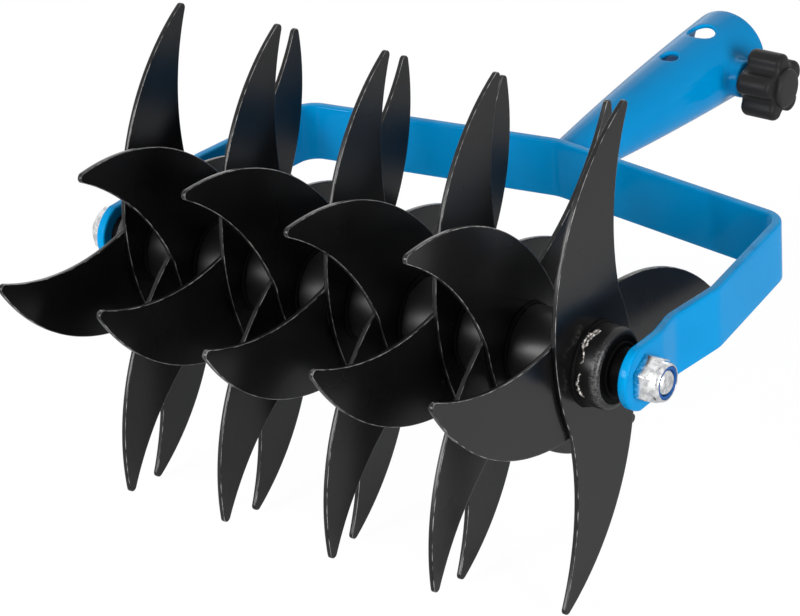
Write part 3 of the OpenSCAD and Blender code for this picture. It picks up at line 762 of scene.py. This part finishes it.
# Clamp screw: M8 steel stud, zinc plated and moulded into the knob, screwed through the boss into the socket; its
# thread is seen between boss and knob.
stud_start, stud_end, stud_r, pitch = 11.06, 29.56, 4.0, 1.25
thread_depth, flank_slope, crest_flat, point = 0.62, 1.3, 0.12, 0.9
along = np.linspace(stud_start, stud_end, 260)[:, None]
winding = (along / pitch - angle / (2 * np.pi)) % 1
groove = thread_depth * np.clip(np.abs(winding * 2 - 1) * flank_slope - crest_flat, 0, 1)
thread = stud_r - groove - point * np.clip(1 - (along - stud_start) / point, 0, 1)
stud = np.stack([along + 0 * angle, boss_y + thread * np.cos(angle), thread * np.sin(angle)], -1)
middle = np.broadcast_to([[[stud_start, boss_y, 0]], [[stud_end, boss_y, 0]]], (2, len(angle), 3))
screw = lay_piece("clamp_stud", [sheet(np.concatenate([middle[:1], stud, middle[1:]]), True)])
fit(screw, zinc.coat, "screw", "zinc", "clamp_screw")


# Clamp knob: five-lobed black plastic grip with soft rims and a short round shoulder, moulded over the stud; a
# shallow round seat in its front takes the cap.
knob_x, lobe_x, knob_end, knob_edge = 19.96, 20.56, 33.56, 1.8
lobe_c, lobe_r, dip_c, dip_r, least_r, far_off = 7.5, 4.5, 11.4, 3, 9.9, 99
smoothings, shoulder_r, shoulder_edge, seat_r, seat_deep = 6, 7.0, 0.3, 6.8, 1.5
turn = np.linspace(0, 2 * np.pi, 240, endpoint=False)
half_lobe = np.pi / 5
off = (turn - np.pi / 2 + half_lobe) % (2 * half_lobe) - half_lobe
aside = lobe_c * np.sin(off)
lobe = lobe_c * np.cos(off) + np.sqrt(np.maximum(lobe_r ** 2 - aside ** 2, 0))
lobe = np.where(lobe_r > np.abs(aside), lobe, 0)
gap = half_lobe - np.abs(off)
aside = dip_c * np.sin(gap)
valley = dip_c * np.cos(gap) - np.sqrt(np.maximum(dip_r ** 2 - aside ** 2, 0))
valley = np.where(np.abs(aside) < dip_r, valley, far_off)
grip = np.minimum(np.maximum(lobe, least_r), valley)
for _ in range(smoothings):
    grip = (np.roll(grip, 1) + 2 * grip + np.roll(grip, -1)) / 4
outline = grip[:, None] * np.stack([np.cos(turn), np.sin(turn)], -1)
lead = np.roll(outline, -1, 0) - np.roll(outline, 1, 0)
out = np.stack([lead[:, 1], -lead[:, 0]], -1) / np.hypot(*lead.T)[:, None]


def knob_ring(inset, x):
    """The lobed outline drawn in by an inset along its normals, at x."""
    flat = outline - out * inset
    return np.concatenate([np.full((len(flat), 1), x), flat + (boss_y, 0)], -1)


def knob_round(radius, x):
    """A plain ring about the clamp's axis with as many points as the lobed outline."""
    return np.stack([np.full_like(turn, x), boss_y + radius * np.cos(turn), radius * np.sin(turn)], -1)


soft = np.linspace(0, np.pi / 2, 7)
grip_rows = [knob_round(r, x) for r, x in ((tapped_r, stud_end), (tapped_r, knob_x),
                                           (shoulder_r - shoulder_edge, knob_x),
                                           (shoulder_r, knob_x + shoulder_edge), (shoulder_r, lobe_x))]
grip_rows += [knob_ring(knob_edge * (1 - np.sin(a)), lobe_x + knob_edge * (1 - np.cos(a))) for a in soft]
grip_rows += [knob_ring(knob_edge * (1 - np.cos(a)), knob_end - knob_edge * (1 - np.sin(a))) for a in soft]
grip_rows += [knob_round(r, x) for r, x in ((seat_r, knob_end), (seat_r, knob_end - seat_deep),
                                            (middle_r, knob_end - seat_deep))]
knob = lay_piece("clamp_knob_grip", [sheet(np.stack(grip_rows), True)], sharp=45)


def knob_plastic(name, low, high):
    """Fine grained black plastic whose tone drifts between two greys."""
    plastic = Finish(name)
    plastic.plain(Specular_IOR_Level=0.1)
    shade = plastic.group(clouds, Cloud_scale=70, Grain_scale=1100)
    dark, light = ((grey, 0.96 * grey, grey, 1) for grey in (low, high))
    plastic.join(plastic.mix(shade["Cloud"], dark, light), "Base Color")
    plastic.join(plastic.ramp(shade["Cloud"], 0.3, 0.7, 0.36, 0.46), "Roughness")
    plastic.relief(shade["Grain"], 0.00008, 0.5)
    return plastic.coat


fit(knob, knob_plastic("black_moulded_knob", low=0.012, high=0.017), "knob", "black_plastic", "clamp_knob")


# Knob cap: round cover moulded in black plastic with a soft rim, pressed into the seat in the knob's front over
# the stud's end.
cover_r, cover_edge, cover_high, cover_deep = 6.75, 1.1, 1.8, 1.45
cap_r = np.concatenate([[middle_r, cover_r, cover_r], cover_r - cover_edge * (1 - np.cos(soft)), [3, middle_r]])
cap_x = knob_end + np.concatenate([[-cover_deep, -cover_deep, 0], cover_high - cover_edge * (1 - np.sin(soft)),
                                   [cover_high, cover_high]])
cap = lay_piece("knob_cap_cover", [sheet(np.stack([knob_round(r, x) for r, x in zip(cap_r, cap_x)]), True)])
fit(cap, knob_plastic("black_moulded_cap", low=0.02, high=0.027), "knob", "black_plastic", "knob_cap")


# Studio, in metres: a pale floor under the blade tips, white to the camera and lifted a little in reflections,
# a white surround that the camera and reflections see, and soft lights from above, the right, the front and the
# back.
floor_half, floor_z = 4.0, cad_box[0][2] - 0.0005
floor_grey, floor_white, floor_lift, floor_shown = 0.85, 1.03, 0.2, 0.93
corners = [(floor_half * x, floor_half * y, floor_z) for x, y in ((-1, -1), (1, -1), (1, 1), (-1, 1))]
floor_mesh = bpy.data.meshes.new("floor")
floor_mesh.from_pydata(corners, [], [(0, 1, 2, 3)])
floor = bpy.data.objects.new("floor", floor_mesh)
bpy.context.collection.objects.link(floor)


def ray_mask(tree, share, *labels):
    """A share of the rays of the named kinds, as a mask."""
    path = tree.nodes.new("ShaderNodeLightPath")
    mask = path.outputs[labels[0]]
    for label in labels[1:]:
        mask = reckon(tree, "MAXIMUM", mask, path.outputs[label])
    return reckon(tree, "MULTIPLY", mask, share)


def blend(tree, mask, first, second):
    """Two shaders mixed by a mask."""
    both = tree.nodes.new("ShaderNodeMixShader")
    for value, socket in zip((mask, first.outputs[0], second.outputs[0]), both.inputs):
        tree.links.new(value, socket)
    return both


pale = Finish("pale_floor")
tree = pale.coat.node_tree
pale.nodes.remove(pale.shader)
matt, glow = (pale.nodes.new("ShaderNode" + kind) for kind in ("BsdfDiffuse", "Emission"))
matt.inputs["Color"].default_value = (floor_grey, floor_grey, floor_grey, 1)
glow.inputs["Strength"].default_value = floor_white
mirrored = blend(tree, ray_mask(tree, floor_lift, "Is Glossy Ray"), matt, glow)
shown = blend(tree, ray_mask(tree, floor_shown, "Is Camera Ray", "Is Transmission Ray"), mirrored, glow)
tree.links.new(shown.outputs[0], pale.nodes["Material Output"].inputs["Surface"])
floor_mesh.materials.append(pale.coat)

world = bpy.data.worlds.new("white_surround")
bpy.context.scene.world = world
world.use_nodes = True
tree = world.node_tree
dim = tree.nodes["Background"]
white = tree.nodes.new("ShaderNodeBackground")
for light, strength in ((dim, 0.4), (white, 1.0)):
    light.inputs["Color"].default_value = (1, 1, 1, 1)
    light.inputs["Strength"].default_value = strength
shown = blend(tree, ray_mask(tree, 1, "Is Camera Ray", "Is Glossy Ray", "Is Transmission Ray"), dim, white)
tree.links.new(shown.outputs[0], tree.nodes["World Output"].inputs["Surface"])

aim = Vector((0, -0.16, 0))
# Each light: its name, its place, its size, and its power in watts
for name, place, size, power in (("top_light", (0.1, -0.1, 1.5), 1.2, 0.5),
                                 ("right_light", (1.3, -0.5, 0.25), 0.6, 15),
                                 ("front_light", (-0.45, -1.4, 0.45), 0.6, 17),
                                 ("back_light", (-0.9, 1.2, 0.35), 1.4, 5)):
    lamp = bpy.data.lights.new(name, "AREA")
    lamp.size, lamp.energy = size, power
    stand = bpy.data.objects.new(name, lamp)
    stand.location = place
    stand.rotation_euler = (aim - Vector(place)).to_track_quat("-Z", "Y").to_euler()
    bpy.context.collection.objects.link(stand)
